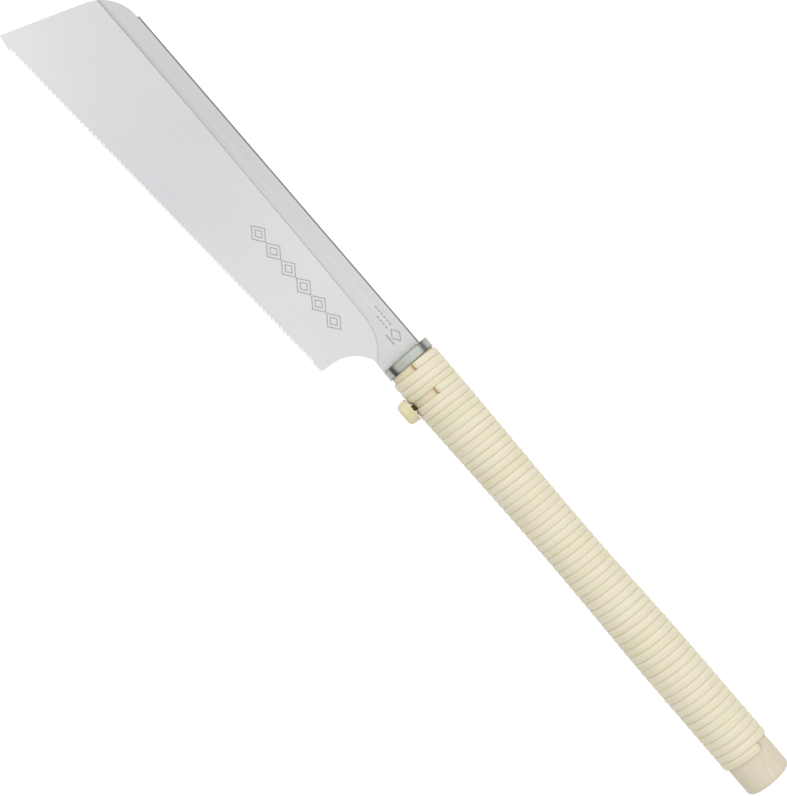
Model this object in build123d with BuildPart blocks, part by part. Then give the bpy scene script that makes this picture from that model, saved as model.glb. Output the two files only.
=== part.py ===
"""Pull saw: a toothed plate in a folded steel back, clamped in a handle wound with rattan."""

import os
from math import cos, pi, radians, sin

from build123d import *

os.makedirs("parts", exist_ok=True)

# The saw lies on its side. +X runs from the blade's nose to the handle's butt, -Y is the toothed
# side, and the blade lies in a level plane. All sizes are in millimetres. In the saw plane, x is the
# distance from the toe and y the height above the handle's long axis.

# Handle
LENGTH = 549.4
HANDLE_FRONT = 261.0
FRONT_RADIUS = 13.3
BUTT_RADIUS = 13.15
WAIST_DEPTH = 1.3
WAIST_X = 390.0
WAIST_FRONT_REACH = 123.0
WAIST_BUTT_REACH = 85.0
FLATTEN = 0.78
BUTT_ROUNDING = 2.4
BUTT_TRIM = 0.1
GLUE_GAP = 0.1

# Ferrule
FERRULE_LENGTH = 5.8
FERRULE_HALF_HEIGHT = 14.15
FERRULE_WALL = 0.8
FERRULE_FRONT_WALL = 1.0
FERRULE_LIP_ROUNDING = 0.5

# Rattan windings
STRIP_THICKNESS = 1.5
STRIP_EDGE_THICKNESS = 1.05
FRONT_TURNS = 4
FRONT_PITCH = 3.95
MAIN_TURNS = 57
MAIN_PITCH_FRONT = 4.295
MAIN_PITCH_BUTT = 4.465
WINDING_GAP = 0.3
START_WINDOW = 2.0
SCREW_WINDOW_PLAY = 0.25
END_WINDOW = 3.6
END_WINDOW_HEIGHT = 7.7

# Blade plate
PLATE_THICKNESS = 0.3
TOOTH_PITCH = 1.5
TOOTH_COUNT = 150
TOOTH_HEIGHT = 1.95
TOOTH_LEAN = 0.12
TOOTH_LINE_SLOPE = 3.42
TOE = (0.0, -51.0)
FIRST_TOOTH = (9.1, -52.2)
HEEL_CORNER = (239.6, -37.85)
SCOOP_START = (240.0, -33.2)
SCOOP_END = (252.7, -13.6)
PLATE_REAR = 256.0
NOSE_ARC_START = (15.86, -7.0)
NOSE_ARC_END = (39.4, 9.1)

# Folded back and its tang
SHEET = 0.7
BACK_TOP = 10.1
BACK_NOSE_LOW = -1.05
BACK_MIDDLE_LOW = (117.0, -1.1)
BACK_CURVE_START = (234.0, -2.85)
BACK_CURVE_SLOPE = 0.05
BACK_CORNER = (255.0, -13.8)
FERRULE_CLEARANCE = 0.2
TANG_TOP = 8.5
TANG_BOTTOM = -3.5
TANG_LENGTH = 50.0
TANG_CORNER_RADIUS = 1.5

# Sleeve for the tang
SLEEVE_WALL = 1.0
SLEEVE_LENGTH = 57.0
TANG_SIDE_PLAY = 0.2
TANG_EDGE_PLAY = 0.2
SLEEVE_BOX_HALF_WIDTH = 2.8
SLEEVE_BOX_TOP = -2.8
SLEEVE_BOX_BOTTOM = -7.3

# Guide pin
PIN_DIAMETER = 3.0
PIN_LENGTH = 14.0
PIN_X = 305.0
PIN_Y = 2.5
PIN_PLAY = 0.02
FORK_WIDTH = 3.4
FORK_START = 303.0

# Clamp screw
STUD_X = 284.8
STUD_RADIUS = 1.95
NUT_BORE_RADIUS = 2.0
STUD_HOLE_RADIUS = 2.5
NUT_SIDE = 7.0
NUT_HEIGHT = 3.2
FOOT_GAP = 0.15
FOOT_HEIGHT = 1.3
FOOT_LENGTH = 8.0
FOOT_WIDTH = 5.2
FOOT_SOCKET_DEPTH = 0.8
STUD_TIP_RADIUS = 1.2
STUD_TIP_LENGTH = 0.7
SOCKET_PLAY = 0.05
KNOB_TOP = -15.0
KNOB_RADIUS = 6.7
KNOB_END_RADIUS = 6.1
KNOB_HEIGHT = 6.3
KNOB_INNER_ROUNDING = 0.7
KNOB_END_ROUNDING = 1.6
STUD_HEAD_RADIUS = 3.0
STUD_HEAD_HEIGHT = 3.6
STUD_HEAD_COVER = 1.2

# Derived values
WINDING_RADIUS = FRONT_RADIUS + STRIP_THICKNESS
HANDLE_Y = -(FIRST_TOOTH[1] + WINDING_RADIUS) / 2
BLADE_Z = WINDING_RADIUS * FLATTEN
ORIGIN = (-LENGTH / 2, HANDLE_Y, BLADE_Z)
SAW = Plane(origin=ORIGIN)
HANDLE_AXIS = Axis(ORIGIN, (1, 0, 0))
STUD_AXIS = Axis((STUD_X - LENGTH / 2, HANDLE_Y, BLADE_Z), (0, 1, 0))
BACK_THICKNESS = 2 * SHEET + PLATE_THICKNESS
CORE_FRONT = HANDLE_FRONT + FERRULE_FRONT_WALL
FERRULE_REAR = HANDLE_FRONT + FERRULE_LENGTH
TANG_END = HANDLE_FRONT + TANG_LENGTH
SLEEVE_SLOT_HALF_WIDTH = BACK_THICKNESS / 2 + TANG_SIDE_PLAY
SLEEVE_SLOT_TOP = TANG_TOP + TANG_EDGE_PLAY
NUT_TOP = SLEEVE_BOX_BOTTOM - SLEEVE_WALL
FOOT_TOP = TANG_BOTTOM - FOOT_GAP
FOOT_BOTTOM = FOOT_TOP - FOOT_HEIGHT
FRONT_WINDING_START = FERRULE_REAR + GLUE_GAP
FRONT_WINDING_END = FRONT_WINDING_START + FRONT_TURNS * FRONT_PITCH
MAIN_WINDING_START = FRONT_WINDING_END + WINDING_GAP
SCREW_WINDOW_END = STUD_X + STUD_RADIUS + SCREW_WINDOW_PLAY


def core_radius(x):
    """Half height of the wooden core at a distance x from the toe: a waist between two plain ends."""
    if x < WAIST_X:
        end_radius, reach = FRONT_RADIUS, WAIST_FRONT_REACH
    else:
        end_radius, reach = BUTT_RADIUS, WAIST_BUTT_REACH
    offset = min(abs(x - WAIST_X) / reach, 1.0)
    waist = FRONT_RADIUS - WAIST_DEPTH
    return waist + (end_radius - waist) * sin(offset * pi / 2) ** 2


def core_outline(start, end, spacing=12.0):
    """Points of the core's outline between two stations, evenly spaced."""
    steps = max(2, round((end - start) / spacing))
    stations = [start + (end - start) * i / steps for i in range(steps + 1)]
    return [(x, core_radius(x)) for x in stations]


def tooth_point(distance, depth):
    """Point on the tooth line: a distance along the tips from the first tooth, and a depth in."""
    slope = radians(TOOTH_LINE_SLOPE)
    x = FIRST_TOOTH[0] + distance * cos(slope) - depth * sin(slope)
    y = FIRST_TOOTH[1] + distance * sin(slope) + depth * cos(slope)
    return (x, y)


def tooth_outline():
    """Pull teeth: a long back that rises towards the handle, and a steep cutting face."""
    points = [FIRST_TOOTH]
    for i in range(TOOTH_COUNT):
        points.append(tooth_point((i + TOOTH_LEAN) * TOOTH_PITCH, TOOTH_HEIGHT))
        points.append(tooth_point((i + 1) * TOOTH_PITCH, 0))
    return points


def turn_widths(count, first_pitch, last_pitch):
    """Widths of the turns of a strip, from its first turn to its last."""
    step = (last_pitch - first_pitch) / max(count - 1, 1)
    return [first_pitch + step * i for i in range(count)]


def wound_sleeve(start, widths):
    """Oval sleeve of the outer shape of a winding: one shallow dome for each turn of the strip."""
    end = start + sum(widths)
    with BuildPart() as sleeve:
        with BuildSketch(SAW):
            with BuildLine():
                inner = [(x, r + GLUE_GAP) for x, r in core_outline(start, end)]
                Spline(*inner)
                x = start
                for width in widths:
                    left = (x, core_radius(x) + STRIP_EDGE_THICKNESS)
                    middle = (x + width / 2, core_radius(x + width / 2) + STRIP_THICKNESS)
                    right = (x + width, core_radius(x + width) + STRIP_EDGE_THICKNESS)
                    ThreePointArc(left, middle, right)
                    x += width
                Line(inner[0], (start, core_radius(start) + STRIP_EDGE_THICKNESS))
                Line(inner[-1], (end, core_radius(end) + STRIP_EDGE_THICKNESS))
            make_face()
        revolve(axis=HANDLE_AXIS)
        scale(by=(1.0, 1.0, FLATTEN), about=ORIGIN)
    return sleeve


def nose_lines():
    """Front edge of the plate and the round that leads it into the back."""
    slant = Line(TOE, NOSE_ARC_START)
    TangentArc(NOSE_ARC_START, NOSE_ARC_END, tangent=slant % 1)


# Toothed plate, with a plain nib at each end of the teeth and a round scoop at the heel
with BuildPart() as blade_plate:
    with BuildSketch(SAW):
        with BuildLine():
            nose_lines()
            Polyline(
                NOSE_ARC_END,
                (PLATE_REAR, NOSE_ARC_END[1]),
                (PLATE_REAR, SCOOP_END[1]),
                SCOOP_END,
            )
            TangentArc(SCOOP_START, SCOOP_END, tangent=(0, 1))
            Line(SCOOP_START, HEEL_CORNER)
            Polyline(HEEL_CORNER, *reversed(tooth_outline()), TOE)
        make_face()
    extrude(amount=PLATE_THICKNESS / 2, both=True)
blade_plate.part.label = "blade_plate"
export_step(blade_plate.part, "parts/blade_plate.step")


# Folded back: two sheets that grip the plate, a shoulder at the ferrule, and a forked tang
BACK_END = HANDLE_FRONT - FERRULE_CLEARANCE
with BuildPart() as back_spine:
    with BuildSketch(SAW) as back_side:
        with BuildLine():
            ThreePointArc((TOE[0], BACK_NOSE_LOW), BACK_MIDDLE_LOW, BACK_CURVE_START)
            Polyline(
                (TOE[0], BACK_NOSE_LOW),
                (TOE[0], BACK_TOP),
                (BACK_END, BACK_TOP),
                (BACK_END, BACK_CORNER[1]),
                BACK_CORNER,
            )
            TangentArc(BACK_CURVE_START, BACK_CORNER, tangent=(1, -BACK_CURVE_SLOPE))
        make_face()
        with BuildLine():
            nose_lines()
            Polyline(
                NOSE_ARC_END,
                (NOSE_ARC_END[0], BACK_TOP),
                (LENGTH, BACK_TOP),
                (LENGTH, TOE[1]),
                TOE,
            )
        make_face(mode=Mode.INTERSECT)
    extrude(amount=BACK_THICKNESS / 2, both=True)
    fold = back_spine.edges().filter_by(Axis.X).group_by(Axis.Y)[-1]
    fillet(fold, radius=BACK_THICKNESS / 2 - 0.05)
    tang_middle = (BACK_END + TANG_END) / 2
    with BuildSketch(SAW):
        with Locations((tang_middle, (TANG_TOP + TANG_BOTTOM) / 2)):
            Rectangle(TANG_END - BACK_END, TANG_TOP - TANG_BOTTOM)
        with Locations((TANG_END, PIN_Y)):
            Rectangle(2 * (TANG_END - FORK_START), FORK_WIDTH, mode=Mode.SUBTRACT)
        with Locations((FORK_START, PIN_Y)):
            Circle(FORK_WIDTH / 2, mode=Mode.SUBTRACT)
    extrude(amount=BACK_THICKNESS / 2, both=True)
    tang_corners = back_spine.edges().filter_by(Axis.Z).group_by(Axis.X)[-1].sort_by(Axis.Y)
    fillet([tang_corners[0], tang_corners[-1]], radius=TANG_CORNER_RADIUS)
    gap_top = BACK_TOP - SHEET
    with BuildSketch(SAW):
        with Locations(((TOE[0] + BACK_END) / 2, (gap_top + TOE[1]) / 2)):
            Rectangle(BACK_END - TOE[0], gap_top - TOE[1])
    extrude(amount=PLATE_THICKNESS / 2, both=True, mode=Mode.SUBTRACT)
back_spine.part.label = "back_spine"
export_step(back_spine.part, "parts/back_spine.step")


# Ferrule: an oval cup with a slot that the tang passes through
with BuildPart() as mouth_ferrule:
    with BuildSketch(SAW):
        with Locations((HANDLE_FRONT + FERRULE_LENGTH / 2, FERRULE_HALF_HEIGHT / 2)):
            Rectangle(FERRULE_LENGTH, FERRULE_HALF_HEIGHT)
        cup_length = FERRULE_LENGTH - FERRULE_FRONT_WALL
        cup_radius = FERRULE_HALF_HEIGHT - FERRULE_WALL
        with Locations((CORE_FRONT + cup_length / 2, cup_radius / 2)):
            Rectangle(cup_length, cup_radius, mode=Mode.SUBTRACT)
    revolve(axis=HANDLE_AXIS)
    lip = mouth_ferrule.edges().filter_by(GeomType.CIRCLE).group_by(Axis.X)[0]
    fillet(lip, radius=FERRULE_LIP_ROUNDING)
    scale(by=(1.0, 1.0, FLATTEN), about=ORIGIN)
    slot_height = TANG_TOP - TANG_BOTTOM + 2 * TANG_EDGE_PLAY
    with BuildSketch(SAW):
        with Locations((HANDLE_FRONT, (TANG_TOP + TANG_BOTTOM) / 2)):
            Rectangle(4 * FERRULE_FRONT_WALL, slot_height)
    extrude(amount=SLEEVE_SLOT_HALF_WIDTH, both=True, mode=Mode.SUBTRACT)
mouth_ferrule.part.label = "mouth_ferrule"
export_step(mouth_ferrule.part, "parts/mouth_ferrule.step")


# Sleeve: a narrow slot for the tang over a wider box for the clamp foot, with its two pockets
SECTION = Plane(
    origin=(CORE_FRONT - LENGTH / 2, HANDLE_Y, BLADE_Z), x_dir=(0, 0, -1), z_dir=(1, 0, 0)
)


def keyhole(growth):
    """Keyhole section of the sleeve's hollow, grown outwards by a wall thickness."""
    slot_bottom = SLEEVE_BOX_TOP - growth
    slot_top = SLEEVE_SLOT_TOP + growth
    box_bottom = SLEEVE_BOX_BOTTOM - growth
    box_top = SLEEVE_BOX_TOP + growth
    with Locations((0, (slot_top + slot_bottom) / 2)):
        Rectangle(2 * (SLEEVE_SLOT_HALF_WIDTH + growth), slot_top - slot_bottom)
    with Locations((0, (box_top + box_bottom) / 2)):
        Rectangle(2 * (SLEEVE_BOX_HALF_WIDTH + growth), box_top - box_bottom)


with BuildPart() as blade_sleeve:
    with BuildSketch(SECTION):
        keyhole(SLEEVE_WALL)
    extrude(amount=SLEEVE_LENGTH)
    with BuildSketch(SECTION):
        keyhole(0)
    extrude(amount=SLEEVE_LENGTH, mode=Mode.SUBTRACT)
    with BuildSketch(SAW):
        with Locations((PIN_X, PIN_Y)):
            Circle(PIN_DIAMETER / 2 + PIN_PLAY)
    extrude(amount=PIN_LENGTH, both=True, mode=Mode.SUBTRACT)
    below_sleeve = Plane(STUD_AXIS.position, z_dir=(0, -1, 0)).offset(-SLEEVE_BOX_BOTTOM - SLEEVE_WALL)
    with BuildSketch(below_sleeve):
        Circle(STUD_HOLE_RADIUS)
    extrude(amount=4 * SLEEVE_WALL, mode=Mode.SUBTRACT)
blade_sleeve.part.label = "blade_sleeve"
export_step(blade_sleeve.part, "parts/blade_sleeve.step")


def across_stud(height):
    """Plane square to the stud at a height above the handle's axis, facing the knob."""
    return Plane((STUD_X - LENGTH / 2, HANDLE_Y + height, BLADE_Z), x_dir=(1, 0, 0), z_dir=(0, -1, 0))


# Square nut that carries the stud
with BuildPart() as clamp_nut:
    with BuildSketch(across_stud(NUT_TOP)):
        Rectangle(NUT_SIDE, NUT_SIDE)
        Circle(NUT_BORE_RADIUS, mode=Mode.SUBTRACT)
    extrude(amount=NUT_HEIGHT)
clamp_nut.part.label = "clamp_nut"
export_step(clamp_nut.part, "parts/clamp_nut.step")


# Guide pin across the sleeve
with BuildPart() as guide_pin:
    with BuildSketch(SAW):
        with Locations((PIN_X, PIN_Y)):
            Circle(PIN_DIAMETER / 2)
    extrude(amount=PIN_LENGTH / 2, both=True)
guide_pin.part.label = "guide_pin"
export_step(guide_pin.part, "parts/guide_pin.step")


# Wooden core, split along the blade's plane and routed for the sleeve, the nut, the pin and the stud
with BuildPart() as handle_core:
    with BuildSketch(SAW):
        with BuildLine():
            rough_end = LENGTH + BUTT_TRIM
            butt_corner = rough_end - BUTT_ROUNDING
            Spline(*core_outline(CORE_FRONT, butt_corner))
            JernArc((butt_corner, BUTT_RADIUS), (1, 0), BUTT_ROUNDING, -90)
            Polyline(
                (rough_end, BUTT_RADIUS - BUTT_ROUNDING),
                (rough_end, 0),
                (CORE_FRONT, 0),
                (CORE_FRONT, core_radius(CORE_FRONT)),
            )
        make_face()
    revolve(axis=HANDLE_AXIS)
    scale(by=(1.0, 1.0, FLATTEN), about=ORIGIN)
    split(bisect_by=Plane.YZ.offset(LENGTH / 2), keep=Keep.BOTTOM)
    with BuildSketch(SECTION):
        keyhole(SLEEVE_WALL)
    extrude(amount=SLEEVE_LENGTH, mode=Mode.SUBTRACT)
    with BuildSketch(across_stud(NUT_TOP)):
        Rectangle(NUT_SIDE, NUT_SIDE)
    extrude(amount=NUT_HEIGHT, mode=Mode.SUBTRACT)
    with BuildSketch(across_stud(NUT_TOP)):
        Circle(STUD_HOLE_RADIUS)
    extrude(amount=2 * WINDING_RADIUS, mode=Mode.SUBTRACT)
    with BuildSketch(SAW):
        with Locations((PIN_X, PIN_Y)):
            Circle(PIN_DIAMETER / 2 + PIN_PLAY)
    extrude(amount=PIN_LENGTH / 2 + PIN_PLAY, both=True, mode=Mode.SUBTRACT)

with BuildPart() as core_left:
    add(handle_core.part)
    split(bisect_by=SAW, keep=Keep.TOP)
core_left.part.label = "core_left"
export_step(core_left.part, "parts/core_left.step")

with BuildPart() as core_right:
    add(handle_core.part)
    split(bisect_by=SAW, keep=Keep.BOTTOM)
core_right.part.label = "core_right"
export_step(core_right.part, "parts/core_right.step")


# Front winding, with the strip's cut end below the start of its first turn
with BuildPart() as front_winding:
    add(wound_sleeve(FRONT_WINDING_START, turn_widths(FRONT_TURNS, FRONT_PITCH, FRONT_PITCH)).part)
    with BuildSketch(SAW):
        with Locations((FRONT_WINDING_START, -WINDING_RADIUS)):
            Rectangle(2 * START_WINDOW, 2 * WINDING_RADIUS)
    extrude(amount=WINDING_RADIUS, mode=Mode.SUBTRACT)
front_winding.part.label = "front_winding"
export_step(front_winding.part, "parts/front_winding.step")


# Main winding, open below its first turn where the stud enters, and cut off above its last turn
MAIN_WIDTHS = turn_widths(MAIN_TURNS, MAIN_PITCH_FRONT, MAIN_PITCH_BUTT)
MAIN_WINDING_END = MAIN_WINDING_START + sum(MAIN_WIDTHS)
with BuildPart() as main_winding:
    add(wound_sleeve(MAIN_WINDING_START, MAIN_WIDTHS).part)
    with BuildSketch(SAW):
        window_length = SCREW_WINDOW_END - FRONT_WINDING_END
        with Locations((SCREW_WINDOW_END - window_length / 2, -WINDING_RADIUS)):
            Rectangle(window_length, 2 * WINDING_RADIUS)
        with Locations((MAIN_WINDING_END, END_WINDOW_HEIGHT + WINDING_RADIUS)):
            Rectangle(2 * END_WINDOW, 2 * WINDING_RADIUS)
    extrude(amount=WINDING_RADIUS, both=True, mode=Mode.SUBTRACT)
main_winding.part.label = "main_winding"
export_step(main_winding.part, "parts/main_winding.step")


# Foot that bears on the tang, with a socket that the stud's tip turns in
with BuildPart() as clamp_foot:
    with BuildSketch(across_stud(FOOT_TOP)):
        Rectangle(FOOT_LENGTH, FOOT_WIDTH)
    extrude(amount=FOOT_HEIGHT)
    with BuildSketch(across_stud(FOOT_BOTTOM + FOOT_SOCKET_DEPTH)):
        Circle(STUD_TIP_RADIUS + SOCKET_PLAY)
    extrude(amount=FOOT_SOCKET_DEPTH, mode=Mode.SUBTRACT)
    fillet(clamp_foot.edges().filter_by(Axis.Y), radius=0.8)
clamp_foot.part.label = "clamp_foot"
export_step(clamp_foot.part, "parts/clamp_foot.step")


# Threaded stud, turned down at the tip and with a head inside the knob
STUD_SHOULDER = FOOT_BOTTOM - 0.1
HEAD_BOTTOM = KNOB_TOP - KNOB_HEIGHT + STUD_HEAD_COVER
with BuildPart() as clamp_stud:
    with BuildSketch(across_stud(STUD_SHOULDER)):
        Circle(STUD_RADIUS)
    extrude(amount=STUD_SHOULDER - HEAD_BOTTOM)
    with BuildSketch(across_stud(HEAD_BOTTOM + STUD_HEAD_HEIGHT)):
        RegularPolygon(STUD_HEAD_RADIUS, 6)
    extrude(amount=STUD_HEAD_HEIGHT)
    with BuildSketch(across_stud(STUD_SHOULDER + STUD_TIP_LENGTH)):
        Circle(STUD_TIP_RADIUS)
    extrude(amount=STUD_TIP_LENGTH)
clamp_stud.part.label = "clamp_stud"
export_step(clamp_stud.part, "parts/clamp_stud.step")


# Thumb knob moulded round the stud's head
with BuildPart() as clamp_knob:
    with BuildSketch(SAW):
        knob_end = KNOB_TOP - KNOB_HEIGHT
        with BuildLine():
            Polyline(
                (STUD_X, KNOB_TOP),
                (STUD_X + KNOB_RADIUS, KNOB_TOP),
                (STUD_X + KNOB_END_RADIUS, knob_end),
                (STUD_X, knob_end),
                close=True,
            )
        make_face()
    revolve(axis=STUD_AXIS)
    rims = clamp_knob.edges().filter_by(GeomType.CIRCLE).sort_by(Axis.Y)
    fillet(rims[-1], radius=KNOB_INNER_ROUNDING)
    rims = clamp_knob.edges().filter_by(GeomType.CIRCLE).sort_by(Axis.Y)
    fillet(rims[0], radius=KNOB_END_ROUNDING)
    add(clamp_stud.part, mode=Mode.SUBTRACT)
clamp_knob.part.label = "clamp_knob"
export_step(clamp_knob.part, "parts/clamp_knob.step")

print("main winding ends", round(MAIN_WINDING_END, 2), "of", LENGTH)
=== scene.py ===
"""Looks of the pull saw: cane winding, ground steel, wood and plastic, round the fixed CAD frame."""

import math
import random

import bmesh
import bpy
import numpy as np
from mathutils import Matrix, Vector


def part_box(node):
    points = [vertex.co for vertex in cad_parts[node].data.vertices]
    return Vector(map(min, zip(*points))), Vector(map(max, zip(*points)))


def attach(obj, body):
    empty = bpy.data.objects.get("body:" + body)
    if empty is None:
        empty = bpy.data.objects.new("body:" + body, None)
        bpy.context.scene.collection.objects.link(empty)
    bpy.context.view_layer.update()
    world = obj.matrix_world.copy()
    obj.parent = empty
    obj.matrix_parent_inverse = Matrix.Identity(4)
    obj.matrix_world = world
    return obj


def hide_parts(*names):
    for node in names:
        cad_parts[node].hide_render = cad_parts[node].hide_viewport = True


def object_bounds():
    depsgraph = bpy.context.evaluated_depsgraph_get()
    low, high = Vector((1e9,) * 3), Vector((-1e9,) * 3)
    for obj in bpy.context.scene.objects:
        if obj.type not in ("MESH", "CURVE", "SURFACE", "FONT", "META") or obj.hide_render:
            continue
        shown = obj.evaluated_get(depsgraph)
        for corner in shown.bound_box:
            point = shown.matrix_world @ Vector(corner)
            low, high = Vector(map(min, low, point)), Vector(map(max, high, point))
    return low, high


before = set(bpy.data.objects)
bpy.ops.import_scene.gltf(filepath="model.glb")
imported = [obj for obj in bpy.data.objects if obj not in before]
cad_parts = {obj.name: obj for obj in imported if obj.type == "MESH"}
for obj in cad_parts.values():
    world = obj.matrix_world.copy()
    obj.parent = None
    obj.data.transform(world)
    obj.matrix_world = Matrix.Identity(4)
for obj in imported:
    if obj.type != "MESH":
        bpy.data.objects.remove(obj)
CAD_LOW, CAD_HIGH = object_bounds()

MM = 0.001
TAU = 2 * math.pi

# ---------------------------------------------------------------- sizes, from the frame

FERRULE_LOW, FERRULE_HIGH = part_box("mouth_ferrule")
WINDING_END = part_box("main_winding")[1].x

AXIS_Y = (FERRULE_LOW.y + FERRULE_HIGH.y) / 2
AXIS_Z = (FERRULE_LOW.z + FERRULE_HIGH.z) / 2
FLATTEN = (FERRULE_HIGH.z - FERRULE_LOW.z) / (FERRULE_HIGH.y - FERRULE_LOW.y)
TOE_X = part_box("blade_plate")[0].x
BACK_TOP = 10.1
STUD_X = 284.8
THREAD_MAJOR = 1.95

# The core's outline, as in the CAD
FRONT_RADIUS = 13.3 * MM
BUTT_RADIUS = 13.15 * MM
WAIST_DEPTH = 1.3 * MM
WAIST_X = TOE_X + 390 * MM
WAIST_FRONT_REACH = 123 * MM
WAIST_BUTT_REACH = 85 * MM


def core_radius(x):
    """Half height of the wooden core at x."""
    if x < WAIST_X:
        end_radius, reach = FRONT_RADIUS, WAIST_FRONT_REACH
    else:
        end_radius, reach = BUTT_RADIUS, WAIST_BUTT_REACH
    offset = min(abs(x - WAIST_X) / reach, 1.0)
    waist = FRONT_RADIUS - WAIST_DEPTH
    return waist + (end_radius - waist) * math.sin(offset * math.pi / 2) ** 2


# ---------------------------------------------------------------- mesh helpers


def add_piece(name, mesh, material, body, replaces=()):
    """Links a mesh as a piece of the object that rides on a CAD body."""
    piece = bpy.data.objects.new(name, mesh)
    bpy.context.scene.collection.objects.link(piece)
    piece.data.materials.append(material)
    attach(piece, body)
    if replaces:
        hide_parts(*replaces)
    return piece


def shade(mesh, angle):
    """Smooth shading, with the edges sharper than the angle kept sharp."""
    for polygon in mesh.polygons:
        polygon.use_smooth = True
    mesh.set_sharp_from_angle(angle=math.radians(angle))


def shell(rings, closed_rows=False):
    """Corners and faces through rings of equally many points, capped unless the row of rings closes."""
    rings = np.asarray(rings, float)
    count, around = rings.shape[:2]
    corners = [tuple(p) for p in rings.reshape(-1, 3)]
    faces = []
    for i in range(count if closed_rows else count - 1):
        k = (i + 1) % count
        for j in range(around):
            n = (j + 1) % around
            faces.append((i * around + j, i * around + n, k * around + n, k * around + j))
    if not closed_rows:
        faces.append(tuple(reversed(range(around))))
        faces.append(tuple((count - 1) * around + j for j in range(around)))
    return corners, faces


def build(name, shells, angle=35):
    """One mesh of one or more closed shells, smooth up to an angle."""
    corners, faces = [], []
    for shell_corners, shell_faces in shells:
        first = len(corners)
        corners += shell_corners
        faces += [tuple(first + i for i in face) for face in shell_faces]
    mesh = bpy.data.meshes.new(name)
    mesh.from_pydata(corners, [], faces)
    work = bmesh.new()
    work.from_mesh(mesh)
    bmesh.ops.recalc_face_normals(work, faces=work.faces)
    work.to_mesh(mesh)
    work.free()
    shade(mesh, angle)
    return mesh


def saw(x, y, z=0.0):
    """Place in the scene of a point given in millimetres from the toe, the axis and the saw's plane."""
    return (TOE_X + x * MM, AXIS_Y + y * MM, AXIS_Z + z * MM)


def arc(start, end, tangent, steps):
    """Points of the arc that leaves start along a tangent and ends at end, start left out."""
    start, end, tangent = Vector(start), Vector(end), Vector(tangent).normalized()
    chord = end - start
    across = Vector((-tangent.y, tangent.x))
    radius = chord.length_squared / (2 * chord.dot(across))
    centre = start + across * radius
    sweep = 2 * math.atan2(tangent.x * chord.y - tangent.y * chord.x, tangent.dot(chord))
    points = []
    for i in range(1, steps + 1):
        a = sweep * i / steps
        arm = start - centre
        cos, sin = math.cos(a), math.sin(a)
        points.append(tuple(centre + Vector((arm.x * cos - arm.y * sin, arm.x * sin + arm.y * cos))))
    return points


def inward(outline, i):
    """Mitred inward direction at a corner of an outline that runs anticlockwise."""
    before, here, after = (Vector(outline[(i + k) % len(outline)]) for k in (-1, 0, 1))
    first, second = (here - before).normalized(), (after - here).normalized()
    first, second = Vector((-first.y, first.x)), Vector((-second.y, second.x))
    return (first + second) / max(0.3, 1 + first.dot(second))


def plate(outline, profiles, square=()):
    """Shell of a plate in the saw's plane. Each corner has a profile of (inset, height) from its upper
    rim to the middle plane. At the corners listed as square, the inset runs straight down."""
    rings = []
    depth = len(profiles[0])
    for level in list(range(depth)) + list(range(depth - 2, -1, -1)):
        side = 1 if len(rings) < depth else -1
        ring = []
        for i, (x, y) in enumerate(outline):
            inset, height = profiles[i][level]
            direction = Vector((0, -1)) if i in square else inward(outline, i)
            ring.append(saw(x + direction.x * inset, y + direction.y * inset, side * height))
        rings.append(ring)
    return shell(rings)


CHAMFER_DROP = 0.75


def chamfer(width, half, levels=3):
    """Profile of a chamfered edge, from its upper rim to the middle plane."""
    side = half - CHAMFER_DROP * width
    steps = levels - 2
    return [(width, half), (0, side)] + [(0, side * (steps - 1 - k) / steps) for k in range(steps)]


# ---------------------------------------------------------------- material helpers


def srgb(*values):
    """Linear colour of an sRGB colour given from 0 to 255."""
    linear = []
    for value in values:
        v = value / 255
        linear.append(v / 12.92 if v <= 0.04045 else ((v + 0.055) / 1.055) ** 2.4)
    return (*linear, 1.0)


# Where the brown by the stud is full and where it ends: off the stud along the handle, and below its axis
BROWN_FULL = 3.2 * MM
BROWN_END = 6.0 * MM
BROWN_FULL_BELOW = 13.6 * MM
BROWN_END_BELOW = 12.6 * MM


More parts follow.
